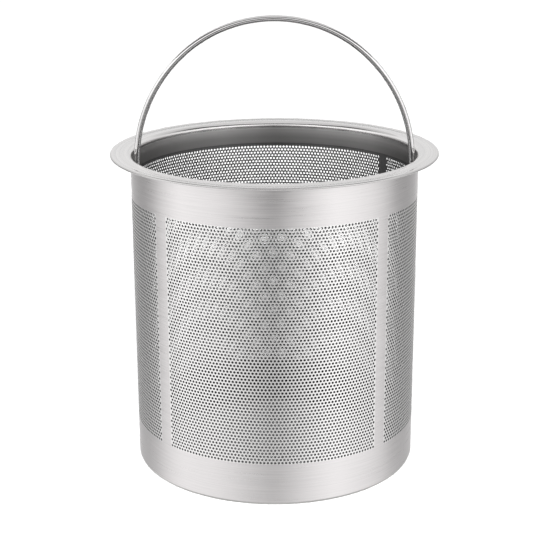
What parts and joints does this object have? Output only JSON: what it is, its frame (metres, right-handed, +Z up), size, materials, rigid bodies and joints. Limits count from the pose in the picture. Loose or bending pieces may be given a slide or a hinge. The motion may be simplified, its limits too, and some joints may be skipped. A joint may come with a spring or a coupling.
{
  "type": "grain basket",
  "caption": "Perforated stainless steel grain basket with a wide flanged rim, a rounded mouth and a swinging round-rod bail, for an all in one brewer.",
  "frame": {"origin": "centre of the underside, on the ground under the basket's axis", "axes": "+Z up along the basket's axis; the upright bail stands in the XZ plane and its pivot axis runs along X; the basket is seen from -Y in front"},
  "size_m": [0.3306, 0.3306, 0.458],
  "materials": {
    "stainless_brushed": "satin",
    "stainless_polished": "polished",
    "weld_metal": "satin"
  },
  "bodies": {
    "basket": {"wall_sheet": "stainless_brushed", "wall_seam_weld": "weld_metal", "rim_flange": "stainless_brushed", "rim_weld": "weld_metal", "bottom_plate": "stainless_brushed", "bottom_weld": "weld_metal"},
    "bail": {"bail_rod": "stainless_polished", "left_end_cap": "stainless_polished", "right_end_cap": "stainless_polished"}
  },
  "joints": [
    {"name": "bail_swing", "type": "hinge", "parent": "basket", "child": "bail", "pos_m": [0, 0, 0.306], "axis": [1, 0, 0], "range_deg": [-72, 72]}
  ]
}
